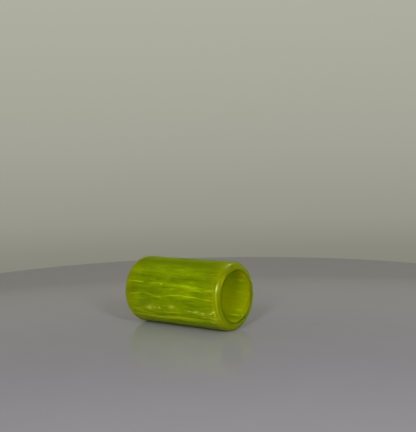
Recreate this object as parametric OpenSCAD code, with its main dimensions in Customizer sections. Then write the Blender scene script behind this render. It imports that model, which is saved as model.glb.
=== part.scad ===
// A short, thick-walled tube of cast resin, open at both ends, with every
// rim rounded over. It lies on its side: the bore runs along X, the lowest
// line of the outside is on Z = 0, and the origin is midway along that line.

/* [Tube] */
// Outside diameter
outer_d = 28; // [20:0.5:40]
// Length from rim to rim
length = 49; // [20:1:80]
// Thickness of the wall between the bore and the outside
wall = 4; // [2:0.1:6]

/* [Rims] */
// Round-over where the outside meets each end
outer_rim_r = 2.8; // [0.4:0.1:5]
// Round-over where the bore meets each end
inner_rim_r = 0.8; // [0.2:0.1:1]

/* [Hidden] */

// Least width of the flat ring that is left between the two round-overs
end_flat_min = 0.4;
// The outer round-over gives way first when the wall is too thin for both
outer_round = min(outer_rim_r, wall - inner_rim_r - end_flat_min);

outer_r = outer_d / 2;
bore_r = outer_r - wall;
half_length = length / 2;

// How far a cutter reaches past the surface that it cuts
cut_past = 1;
$fn = 128;

// What a round-over of radius r takes off a corner. The corner is at the
// origin, and the wall lies on its -X, -Y side.
module corner_waste(r) {
    difference() {
        translate([-r, -r]) square(r + cut_past);
        translate([-r, -r]) circle(r);
    }
}

// Half section of the wall: X is the distance from the bore's axis, and Y
// is the place along it.
module wall_section() {
    difference() {
        translate([bore_r, -half_length]) square([wall, length]);
        for (end = [0, 1]) mirror([0, end]) {
            translate([outer_r, half_length]) corner_waste(outer_round);
            translate([bore_r, half_length]) mirror([1, 0]) corner_waste(inner_rim_r);
        }
    }
}

module tube() {
    color([0.62, 0.75, 0.05])
        translate([0, 0, outer_r])
        rotate([0, 90, 0])
        rotate_extrude() wall_section();
}

tube();
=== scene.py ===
# A short, thick-walled tube of streaked, translucent lime resin, lying on its side on a pale round table.
import math

import bpy
from mathutils import Matrix, Vector


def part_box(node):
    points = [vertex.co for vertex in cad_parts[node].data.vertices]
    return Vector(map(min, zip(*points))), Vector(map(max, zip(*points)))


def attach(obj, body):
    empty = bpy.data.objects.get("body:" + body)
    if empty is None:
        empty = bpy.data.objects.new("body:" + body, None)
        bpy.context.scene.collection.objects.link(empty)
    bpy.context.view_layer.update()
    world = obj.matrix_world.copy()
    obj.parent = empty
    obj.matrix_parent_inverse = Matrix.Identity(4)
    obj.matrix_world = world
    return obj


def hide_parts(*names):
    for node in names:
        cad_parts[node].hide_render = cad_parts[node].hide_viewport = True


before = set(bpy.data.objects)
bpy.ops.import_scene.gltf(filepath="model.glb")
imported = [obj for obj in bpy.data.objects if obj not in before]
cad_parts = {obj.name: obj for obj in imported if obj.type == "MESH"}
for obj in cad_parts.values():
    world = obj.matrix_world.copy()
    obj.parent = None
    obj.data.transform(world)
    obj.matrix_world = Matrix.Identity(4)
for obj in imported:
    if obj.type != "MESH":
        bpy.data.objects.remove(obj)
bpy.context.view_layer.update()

# ---- Tube ------------------------------------------------------------------------------------------------
# One piece of cast acrylic, turned and bored from a streaked rod, then rounded over and buffed by hand at
# both ends. The straight wall keeps the faint lengthwise waves that buffing leaves, and the rims are smooth.
MM = 0.001
tube_low, tube_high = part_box("tube")
half_length = (tube_high.x - tube_low.x) / 2
outer_r = (tube_high.z - tube_low.z) / 2
wall = 4 * MM
bore_r = outer_r - wall
outer_round = 2.8 * MM
bore_round = 0.8 * MM
axis_height = (tube_high.z + tube_low.z) / 2
wall_middle = axis_height + bore_r + wall / 2

SEGMENTS_ROUND = 192
ROWS_ALONG = 56
WAVE_HEIGHT = 0.08 * MM
WAVE_WIDTH = 2.2 * MM
WAVE_RUN = 7


def deselect():
    """Leaves nothing selected, in object mode."""
    if bpy.context.mode != "OBJECT":
        bpy.ops.object.mode_set(mode="OBJECT")
    bpy.ops.object.select_all(action="DESELECT")


def pick(piece, kind, test):
    """Selects only the piece's vertices, edges or faces whose middle passes the test, and opens edit mode."""
    bpy.ops.object.mode_set(mode="EDIT")
    bpy.ops.mesh.select_mode(type={"vertices": "VERT", "edges": "EDGE", "polygons": "FACE"}[kind])
    bpy.ops.mesh.select_all(action="DESELECT")
    bpy.ops.object.mode_set(mode="OBJECT")
    mesh = piece.data
    for part in getattr(mesh, kind):
        if kind == "vertices":
            middle = part.co
        else:
            corners = [mesh.vertices[i].co for i in part.vertices]
            middle = sum(corners, Vector()) / len(corners)
        part.select = test(middle)
    bpy.ops.object.mode_set(mode="EDIT")


# The wall's section is a rectangle above the axis, in the XZ plane.
deselect()
bpy.ops.mesh.primitive_plane_add(size=1, location=(0, 0, wall_middle), rotation=(math.pi / 2, 0, 0))
tube = bpy.context.object
tube.name = "streaked_tube"
tube.scale = (2 * half_length, wall, 1)
bpy.ops.object.transform_apply(location=True, rotation=True, scale=True)

# Its corners are rounded over, wide outside and narrow at the bore.
at_end = half_length - 0.01 * MM
for is_outside, fillet, steps in ((True, outer_round, 10), (False, bore_round, 5)):
    pick(tube, "vertices", lambda p: (p.z > wall_middle) == is_outside and abs(p.x) > at_end)
    bpy.ops.mesh.bevel(offset=fillet, offset_type="OFFSET", segments=steps, affect="VERTICES")
    bpy.ops.object.mode_set(mode="OBJECT")

# The two long sides are cut into short rows, and the face is dropped, so that only the outline is spun.
pick(tube, "polygons", lambda p: True)
bpy.ops.mesh.delete(type="ONLY_FACE")
bpy.ops.object.mode_set(mode="OBJECT")
pick(tube, "edges", lambda p: abs(p.x) < 1 * MM)
bpy.ops.mesh.subdivide(number_cuts=ROWS_ALONG - 1)
bpy.ops.mesh.select_all(action="SELECT")
bpy.ops.mesh.spin(steps=SEGMENTS_ROUND, angle=2 * math.pi, center=(0, 0, axis_height), axis=(1, 0, 0))
bpy.ops.mesh.select_all(action="SELECT")
bpy.ops.mesh.remove_doubles(threshold=0.001 * MM)
bpy.ops.mesh.normals_make_consistent(inside=False)
bpy.ops.object.mode_set(mode="OBJECT")
bpy.ops.object.shade_smooth()

# The waves are a displacement by soft noise that is long along the tube and short around it.
waves = bpy.data.textures.new("buffing_waves", "CLOUDS")
waves.noise_scale = WAVE_WIDTH
waves.noise_depth = 1
bpy.ops.object.empty_add(location=(0, 0, 0))
stretch = bpy.context.object
stretch.scale = (WAVE_RUN, 1, 1)
straight = tube.vertex_groups.new(name="straight_wall")
for vertex in tube.data.vertices:
    from_end = half_length - abs(vertex.co.x)
    straight.add([vertex.index], min(1, max(0, from_end / outer_round - 1)), "REPLACE")
deselect()
tube.select_set(True)
bpy.context.view_layer.objects.active = tube
ripple = tube.modifiers.new("ripple", "DISPLACE")
ripple.texture = waves
ripple.texture_coords = "OBJECT"
ripple.texture_coords_object = stretch
ripple.strength = WAVE_HEIGHT
ripple.mid_level = 0.5
ripple.vertex_group = straight.name
bpy.ops.object.modifier_apply(modifier=ripple.name)
bpy.data.objects.remove(stretch)


def linear(code):
    """A colour's sRGB hex value as linear red, green, blue and alpha."""
    shares = [int(code[i:i + 2], 16) / 255 for i in (1, 3, 5)]
    return tuple(s / 12.92 if s <= 0.04045 else ((s + 0.055) / 1.055) ** 2.4 for s in shares) + (1.0,)


def add(tree, kind, inputs=None, **settings):
    """Adds a node, sets its properties, and gives its inputs values or other nodes' outputs."""
    made = tree.nodes.new("ShaderNode" + kind)
    for name, value in settings.items():
        setattr(made, name, value)
    for key, value in (inputs or {}).items():
        if isinstance(value, bpy.types.NodeSocket):
            tree.links.new(value, made.inputs[key])
        else:
            made.inputs[key].default_value = value
    return made


# Cast acrylic in a see-through lime, with paler pearl wisps drawn out along the rod. Polished, IOR 1.49.
# Light soaks several millimetres into it, so it never goes black in its own shade. Its rim glow is partly
# painted.
resin = bpy.data.materials.new("streaked_lime_acrylic")
resin.use_nodes = True
tree = resin.node_tree
tree.nodes.clear()
output = add(tree, "OutputMaterial")
place = add(tree, "TexCoord").outputs["Object"]
centred = add(tree, "Mapping", {"Vector": place, "Location": (0, 0, -axis_height)}).outputs[0]

# Everything in the resin sways a little from side to side as it runs along the tube.
SWAY = 0.9 * MM
SWAY_LENGTH = 4 * MM
slow = add(tree, "Mapping", {"Vector": centred, "Scale": (0.5, 1, 1)}).outputs[0]
sway_noise = add(tree, "TexNoise", {"Vector": slow, "Scale": 1 / SWAY_LENGTH, "Detail": 1.0}).outputs["Color"]
sway = add(tree, "VectorMath", {0: sway_noise, 1: (0.5, 0.5, 0.5)}, operation="SUBTRACT").outputs[0]
sway = add(tree, "VectorMath", {0: sway, "Scale": SWAY}, operation="SCALE").outputs[0]
bent = add(tree, "VectorMath", {0: centred, 1: sway}, operation="ADD").outputs[0]
spot = add(tree, "SeparateXYZ", {0: bent})

# How far a point is from the axis and from the middle, for the bore and the rims.
across = add(tree, "CombineXYZ", {1: spot.outputs["Y"], 2: spot.outputs["Z"]}).outputs[0]
from_axis = add(tree, "VectorMath", {0: across}, operation="LENGTH").outputs["Value"]
from_middle = add(tree, "Math", {0: spot.outputs["X"]}, operation="ABSOLUTE").outputs[0]
on_side = add(tree, "MapRange", {
    "Value": from_middle, "From Min": half_length - 2.2 * MM, "From Max": half_length - 0.4 * MM,
    "To Min": 1.0, "To Max": 0.0,
}, interpolation_type="SMOOTHSTEP").outputs[0]
on_outside = add(tree, "MapRange", {
    "Value": from_axis, "From Min": bore_r + 1 * MM, "From Max": outer_r - 2 * MM,
}, interpolation_type="SMOOTHSTEP").outputs[0]
on_skin = add(tree, "Math", {0: on_side, 1: on_outside}, operation="MULTIPLY").outputs[0]
in_bore = add(tree, "MapRange", {
    "Value": from_axis, "From Min": bore_r + 0.1 * MM, "From Max": bore_r + 0.6 * MM,
    "To Min": 1.0, "To Max": 0.0,
}, interpolation_type="SMOOTHSTEP").outputs[0]

# The skin is unrolled: along the tube, and around it from the level of the axis. The hidden half has the
# same marks, end for end.
turned = add(tree, "Math", {0: spot.outputs["Y"]}, operation="SIGN").outputs[0]
swapped = add(tree, "Math", {0: spot.outputs["X"], 1: turned}, operation="MULTIPLY").outputs[0]
along = add(tree, "Math", {0: swapped, 1: -1.0}, operation="MULTIPLY").outputs[0]
sideways = add(tree, "Math", {0: spot.outputs["Y"]}, operation="ABSOLUTE").outputs[0]
angle = add(tree, "Math", {0: spot.outputs["Z"], 1: sideways}, operation="ARCTAN2").outputs[0]
around = add(tree, "Math", {0: angle, 1: outer_r}, operation="MULTIPLY").outputs[0]
unrolled = add(tree, "CombineXYZ", {0: along, 1: around}).outputs[0]

# Streaks that lie in the whole wall, as (width across, how many times longer, share of the shade, share left
# on the cut ends). The crown of the tube is nearly clear of them.
clear = add(tree, "MapRange", {
    "Value": angle, "From Min": math.radians(48), "From Max": math.radians(62), "To Min": 1.0, "To Max": 0.35,
}).outputs[0]
MID_SHADE = 0.47
shade = MID_SHADE
for width, run, share, left in (
    (0.5 * MM, 5, 0.08, 0.1),
    (0.8 * MM, 9, 0.09, 0.2),
    (1.8 * MM, 5, 0.09, 0.5),
    (6 * MM, 4, 0.08, 1.0),
):
    drawn = add(tree, "Mapping", {"Vector": bent, "Scale": (1 / run, 1, 1)}).outputs[0]
    noise = add(tree, "TexNoise", {"Vector": drawn, "Scale": 1 / width, "Detail": 1.5}).outputs[0]
    layer = add(tree, "MapRange", {
        "Value": noise, "From Min": 0.3, "From Max": 0.7, "To Min": -share, "To Max": share,
    }).outputs[0]
    kept = add(tree, "MapRange", {"Value": on_side, "To Min": left, "To Max": 1.0}).outputs[0]
    kept = add(tree, "Math", {0: kept, 1: clear}, operation="MULTIPLY").outputs[0]
    shade = add(tree, "Math", {0: layer, 1: kept, 2: shade}, operation="MULTIPLY_ADD").outputs[0]


def lay(marks):
    """Sums soft oval marks: (mm along, degrees around, half length, half width, slant, strength)."""
    total = 0.0
    for middle, degrees, half_long, half_wide, slant, strength in marks:
        near = add(tree, "Mapping", {
            "Vector": unrolled,
            "Location": (middle * MM, math.radians(degrees) * outer_r, 0),
            "Rotation": (0, 0, math.radians(slant)),
            "Scale": (half_long * MM, half_wide * MM, 1),
        }, vector_type="TEXTURE").outputs[0]
        away = add(tree, "VectorMath", {0: near}, operation="LENGTH").outputs["Value"]
        mark = add(tree, "MapRange", {
            "Value": away, "To Min": strength, "To Max": 0.0,
        }, interpolation_type="SMOOTHSTEP").outputs[0]
        total = add(tree, "Math", {0: mark, 1: total}, operation="ADD").outputs[0]
    return total


wisps_and_painted_light = lay((
    # Upper side: a painted shade along the crown, a pale band below it, then a dark band. Soft pale patches
    # near one end are painted glow, where light comes in through the cut face.
    (0, 66, 70, 4.0, 0, -0.20), (-2, 44, 45, 1.7, 0, 0.05), (0, 33, 45, 2.2, 0, -0.19),
    (-21, 65, 6, 5, 0, -0.11), (22, 66, 4, 3.2, 0, 0.08), (22, 43, 4, 2.6, 0, 0.16), (21, 0, 4, 6, 0, 0.11),
    # The upper bright wisp, in drawn-out pieces, and the dark lines under it.
    (-17.5, 22.5, 6, 0.55, 0, 0.50), (-14.5, 21.5, 2.5, 0.4, -3, 0.40), (-8, 21.5, 5.5, 0.55, -1, 0.32),
    (-4, 20.5, 1.6, 0.7, 0, 0.42), (8, 20, 13, 1.2, -1, 0.34), (15.5, 15.5, 4.5, 0.4, 0, 0.36),
    (21, 17, 4, 0.7, 2, 0.42), (2, 13, 2.8, 0.4, 0, 0.3), (-1, 16.5, 4, 0.35, 1, -0.38),
    (14.5, 12, 3.2, 0.35, 0, -0.34), (21.5, 12.5, 2.2, 0.35, 0, -0.25), (-11, 10, 14, 1.4, 1, -0.18),
    # The middle bright wisp wanders along the whole tube.
    (-17.5, 1.5, 6.5, 0.5, 4.5, 0.42), (-10, 2.5, 4.5, 0.6, -3, 0.35), (-5.5, -0.5, 4.5, 0.65, 1, 0.42),
    (2.5, 2.5, 7, 0.55, 5, 0.42), (11, 3.2, 8, 0.6, -2, 0.48), (20, 1.5, 6, 0.55, 0, 0.44),
    (9, 9, 8, 0.6, 0, 0.17), (10, -3, 9, 0.35, 0, -0.21),
    # Lower side: fine parallel lines above a broad pale band. A wide pale band across the lower side is
    # painted light, and a dark band along the bottom, where the tube rests on the table, is painted shade.
    (0, -28, 10, 0.5, 0, 0.36), (3, -31.5, 10, 0.45, 1, -0.5), (17, -26, 8, 0.5, -2, 0.36),
    (19, -30.5, 7, 0.45, 3, 0.4), (14, -33.5, 9, 0.4, 1, -0.35), (0, -40, 45, 1.5, 0, 0.32),
    (0, -28, 60, 6, 0, 0.15), (0, -64, 60, 2.6, 0, -0.25), (-6, -36, 13, 0.45, 2, -0.4),
    (8, -37, 10, 0.4, 1.5, 0.4), (10, -28.5, 12, 0.4, 1, -0.32), (-14, -33, 6, 0.4, -3, 0.4),
    (20.5, -37.5, 4, 0.6, 3, 0.4), (-22.5, -34, 1.6, 2.2, 40, 0.35), (-21, -12, 5, 4, 0, -0.12),
    (-17, -29, 6, 0.8, -6, 0.28), (5, -47, 16, 0.35, 1, -0.3), (17, -41, 7, 0.4, 2, -0.25),
))
shade = add(tree, "Math", {0: wisps_and_painted_light, 1: on_skin, 2: shade}, operation="MULTIPLY_ADD").outputs[0]

body = add(tree, "ValToRGB", {"Fac": shade})
body.color_ramp.elements[0].color = linear("#5C6F00")
body.color_ramp.elements[1].color = linear("#D0E008")
for share, code in ((0.45, "#8AA300"), (0.6, "#98B400"), (0.8, "#B0CB00")):
    body.color_ramp.elements.new(share).color = linear(code)
colour = body.outputs[0]

# Painted glints along the lower side, whitish flecks for bright light reflected off the rippled skin, are
# broken up by noise as wide as they are.
BROKEN = 1.1 * MM
halved = add(tree, "Mapping", {"Vector": bent, "Scale": (0.5, 1, 1)}).outputs[0]
broken = add(tree, "TexNoise", {"Vector": halved, "Scale": 1 / BROKEN, "Detail": 1.0}).outputs[0]
painted_glints = lay((
    (-10, -22, 4.4, 1.7, 5, 0.8), (-5.4, -20.5, 1.0, 1.2, 0, 0.8), (1.6, -18.5, 3.2, 2.2, 0, 0.75),
    (9.8, -21, 2.8, 0.8, -5, 1.0), (13.5, -21.5, 2.8, 1.0, 8, 1.0), (17.0, -23, 3.4, 0.9, 0, 0.9),
    (20.5, -21.5, 2.4, 1.0, 10, 1.0), (22.2, -18.5, 1.6, 0.9, 0, 1.2), (22.8, -26, 0.8, 1.6, 0, 1.1),
    (22, -33, 2.4, 0.9, 0, 0.8), (20.5, -41, 2.4, 0.6, 4, 0.7), (-8, -43, 3.0, 0.6, 0, 0.5),
))
whole = add(tree, "MapRange", {
    "Value": broken, "From Min": 0.38, "From Max": 0.56, "To Min": 0.12,
}).outputs[0]
painted_glints = add(tree, "Math", {0: painted_glints, 1: whole}, operation="MULTIPLY").outputs[0]
painted_glints = add(tree, "Math", {0: painted_glints, 1: on_outside}, operation="MULTIPLY").outputs[0]

# The resin is browner near the ends and on the cut face. A thin painted glow line, for light that the wall
# carries out at the rim, runs along the edge that is nearest the light.
near_end = add(tree, "MapRange", {
    "Value": from_middle, "From Min": half_length - 9 * MM, "From Max": half_length - 1 * MM, "To Max": 0.45,
}).outputs[0]
on_face = add(tree, "MapRange", {"Value": on_side, "To Min": 0.7, "To Max": 0.0}).outputs[0]
# Painted glow line along the rim.
painted_glow_line = lay(((23.75, 20, 0.4, 7, 0, 0.5), (23.8, -12, 0.35, 9, 0, 0.45), (24.4, 40, 0.5, 6, 0, 0.3)))
painted_glow_line = add(tree, "Math", {0: painted_glow_line, 1: on_outside}, operation="MULTIPLY").outputs[0]

# The bore is yellower, and paler further in, where the paleness is painted light that lifts the shade deep in
# the bore. It has a few painted highlights as pale lines near its mouth, a floor made deep green by painted
# shade, and a thin painted dark line at its lip on the far side.
further_in = add(tree, "MapRange", {
    "Value": from_middle, "From Min": half_length - 20 * MM, "From Max": half_length - 5 * MM,
    "To Min": 1.0, "To Max": 0.3,
}).outputs[0]
bore_tint_and_painted_light = add(tree, "Math", {0: in_bore, 1: further_in}, operation="MULTIPLY").outputs[0]
# Painted shade: deep green on the bore's floor and the lower part of both cut faces, low down by the table.
painted_shade_green = lay(((-22, -68, 7, 6, 0, 0.6), (-24.5, -54, 2.2, 8, 0, 0.4), (24.5, -66, 1.4, 6, 0, 0.4)))
# Painted highlights: pale lines of light near the bore's mouth.
painted_bore_highlights = lay((
    (-19.5, -60, 4.2, 1.1, 2, 0.9), (-23.3, -57, 0.7, 1.2, 0, 0.6), (-20.5, -44, 3, 1.0, 0, 0.5),
    (-21, 32, 3, 1.3, 0, 0.6), (-19, 0, 4, 1.0, 0, 0.25), (-18, 15, 5, 0.8, 0, 0.2),
))
painted_bore_highlights = add(tree, "Math", {0: painted_bore_highlights, 1: in_bore}, operation="MULTIPLY").outputs[0]
from_lip = add(tree, "Math", {0: from_axis, 1: bore_r + 0.15 * MM}, operation="SUBTRACT").outputs[0]
from_lip = add(tree, "Math", {0: from_lip}, operation="ABSOLUTE").outputs[0]
# A painted dark line at the lip, for the dark bore seen through the inner round-over.
painted_lip_line = add(tree, "MapRange", {
    "Value": from_lip, "From Max": 0.35 * MM, "To Min": 1.0, "To Max": 0.0,
}, interpolation_type="SMOOTHSTEP").outputs[0]
far_side = add(tree, "MapRange", {
    "Value": spot.outputs["Y"], "From Min": 6 * MM, "From Max": bore_r, "To Max": 0.5,
}).outputs[0]
at_mouth = add(tree, "MapRange", {
    "Value": from_middle, "From Min": half_length - 1.5 * MM, "From Max": half_length - 0.6 * MM,
}).outputs[0]
painted_lip_line = add(tree, "Math", {0: painted_lip_line, 1: far_side}, operation="MULTIPLY").outputs[0]
painted_lip_line = add(tree, "Math", {0: painted_lip_line, 1: at_mouth}, operation="MULTIPLY").outputs[0]

for share, code in (
    (near_end, "#9A9C00"),
    (on_face, "#889600"),
    # painted glints, whitish
    (painted_glints, "#E0E848"),
    # painted glow line along the rim
    (painted_glow_line, "#DCEC08"),
    # the bore's yellower tint, paler further in by painted light
    (bore_tint_and_painted_light, "#DCE400"),
    # painted shade, deep green
    (painted_shade_green, "#648000"),
    # painted highlights in the bore
    (painted_bore_highlights, "#E0EA10"),
    # painted dark line at the lip
    (painted_lip_line, "#5A5800"),
):
    laid = add(tree, "Mix", {"Factor": share}, data_type="RGBA")
    tree.links.new(colour, laid.inputs["A"])
    laid.inputs["B"].default_value = linear(code)
    colour = laid.outputs["Result"]

# The gloss is all in the buffed outer coat. Red and green light run far under the skin, and blue hardly
# at all.
shader = add(tree, "BsdfPrincipled", {
    "Base Color": colour,
    "Roughness": 0.3,
    "IOR": 1.49,
    "Specular IOR Level": 0.0,
    "Coat Weight": 0.15,
    "Coat Roughness": 0.035,
    "Coat IOR": 1.49,
    "Subsurface Weight": 1.0,
    "Subsurface Radius": (1.0, 1.0, 0.1),
    "Subsurface Scale": 9 * MM,
})
# Each skin lets a quarter of the lamps' light through, which tints what the tube shades.
LET_THROUGH = 0.25
passing = add(tree, "BsdfTransparent", {"Color": linear("#E2F27A")})
to_lamp = add(tree, "LightPath").outputs["Is Shadow Ray"]
passed = add(tree, "Math", {0: to_lamp, 1: LET_THROUGH}, operation="MULTIPLY").outputs[0]
mixed = add(tree, "MixShader", {0: passed, 1: shader.outputs[0], 2: passing.outputs[0]})
tree.links.new(mixed.outputs[0], output.inputs["Surface"])

tube.data.materials.append(resin)
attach(tube, "root")
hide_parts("tube")

# ---- Table and lights ------------------------------------------------------------------------------------
# A round display stand, a board with a pale laminate top and an eased edge. It is the floor of the scene, and
# isn't part of the object.
TABLE_R = 190 * MM
TABLE_THICK = 12 * MM
TABLE_CENTRE = (-17.4 * MM, 28.5 * MM)
MOTTLE = 16.7 * MM

deselect()
bpy.ops.mesh.primitive_cylinder_add(vertices=256, radius=TABLE_R, depth=TABLE_THICK,
                                    location=(*TABLE_CENTRE, -TABLE_THICK / 2))
table = bpy.context.object
table.name = "table"
table.data.transform(table.matrix_world)
table.matrix_world = Matrix.Identity(4)
rounding = table.modifiers.new("rounding", "BEVEL")
rounding.width = 1 * MM
rounding.segments = 3
bpy.ops.object.modifier_apply(modifier=rounding.name)
bpy.ops.object.shade_smooth_by_angle(angle=math.radians(40))

# Satin melamine laminate in a cool pale grey. Its colour is mottled by a few hundredths, and it has a soft
# sheen that mirrors the tube faintly.
laminate = bpy.data.materials.new("pale_laminate")
laminate.use_nodes = True
tree = laminate.node_tree
tree.nodes.clear()
output = add(tree, "OutputMaterial")
place = add(tree, "TexCoord").outputs["Object"]
grain = add(tree, "TexNoise", {"Vector": place, "Scale": 1 / MOTTLE, "Detail": 3.0}).outputs[0]
shade = add(tree, "MapRange", {"Value": grain, "To Min": 0.97, "To Max": 1.03}).outputs[0]
tone = add(tree, "VectorMath", {0: linear("#C3C1CD")[:3], "Scale": shade}, operation="SCALE").outputs[0]
shader = add(tree, "BsdfPrincipled", {
    "Base Color": tone, "Roughness": 0.2, "IOR": 1.5, "Specular IOR Level": 0.55,
})
tree.links.new(shader.outputs[0], output.inputs["Surface"])
table.data.materials.append(laminate)

# The room is a plain warm grey, palest just above the level of the eye, and darker low down and overhead. It
# lights the scene at four fifths of the strength that is seen.
room = bpy.data.worlds.new("room")
bpy.context.scene.world = room
room.use_nodes = True
tree = room.node_tree
tree.nodes.clear()
output = add(tree, "OutputWorld")
way = add(tree, "TexCoord").outputs["Generated"]
rise = add(tree, "SeparateXYZ", {0: way}).outputs["Z"]
height = add(tree, "MapRange", {"Value": rise, "From Min": -0.2, "From Max": 0.6}).outputs[0]
tones = add(tree, "ValToRGB", {"Fac": height})
tones.color_ramp.elements[0].color = linear("#7C7C70")
for share, code in (
    (0.106, "#8B8B7F"), (0.15, "#97978B"), (0.26, "#A3A397"), (0.475, "#AFAFA1"), (0.7, "#72726B"),
):
    tones.color_ramp.elements.new(share).color = linear(code)
tones.color_ramp.elements[-1].color = linear("#7B7B73")
seen = add(tree, "LightPath").outputs["Is Camera Ray"]
strength = add(tree, "MapRange", {"Value": seen, "To Min": 0.8, "To Max": 1.0}).outputs[0]
glow = add(tree, "Background", {"Color": tones.outputs[0], "Strength": strength})
tree.links.new(glow.outputs[0], output.inputs["Surface"])

# Two low panes of a window, behind the camera on its left and right, give the light that casts shadows. Two
# brighter lamps give only the glints on the resin.
AIM = Vector((0, 0, axis_height))
glossy_pieces = bpy.data.collections.new("glossy_pieces")
glossy_pieces.objects.link(tube)
for name, azimuth, elevation, distance, wide, tall, power, code, is_glint in (
    ("left_pane", 22, 23, 0.9, 0.12, 0.30, 2.2, "#FFFDF8", False),
    ("right_pane", 60, 23, 0.9, 0.12, 0.30, 2.2, "#FFFDF8", False),
    ("window_glint", 52, 21, 0.9, 0.09, 0.28, 30.0, "#FFFDF8", True),
    ("ceiling_glint", 156, 61, 0.6, 0.10, 0.30, 5.0, "#FFFBF2", True),
):
    turn, lift = math.radians(azimuth), math.radians(elevation)
    way = Vector((math.sin(turn) * math.cos(lift), -math.cos(turn) * math.cos(lift), math.sin(lift)))
    lamp = bpy.data.lights.new(name, "AREA")
    lamp.shape = "RECTANGLE"
    lamp.size, lamp.size_y = wide, tall
    lamp.energy = power
    lamp.color = linear(code)[:3]
    light = bpy.data.objects.new(name, lamp)
    bpy.context.scene.collection.objects.link(light)
    light.location = AIM + way * distance
    light.rotation_euler = way.to_track_quat("Z", "Y").to_euler()
    light.visible_camera = False
    light.visible_diffuse = not is_glint
    light.visible_glossy = is_glint
    if is_glint:
        light.light_linking.receiver_collection = glossy_pieces

# ---- Camera ----------------------------------------------------------------------------------------------
# It stands a third of a metre away, low over the table, and looks across the near end of the tube. It is
# rolled by a degree and a half.
EYE = Vector((211.3, -267.35, 71.7)) * MM
HEADING, PITCH, ROLL = math.radians(36.8), math.radians(4.35), math.radians(-1.6)
lens = bpy.data.cameras.new("camera")
lens.sensor_width = 36
lens.lens = 68.15
camera = bpy.data.objects.new("camera", lens)
bpy.context.scene.collection.objects.link(camera)
camera.matrix_world = (
    Matrix.Translation(EYE)
    @ Matrix.Rotation(HEADING, 4, "Z")
    @ Matrix.Rotation(math.pi / 2 - PITCH, 4, "X")
    @ Matrix.Rotation(ROLL, 4, "Z")
)
bpy.context.scene.camera = camera
bpy.context.scene.view_settings.view_transform = "Standard"
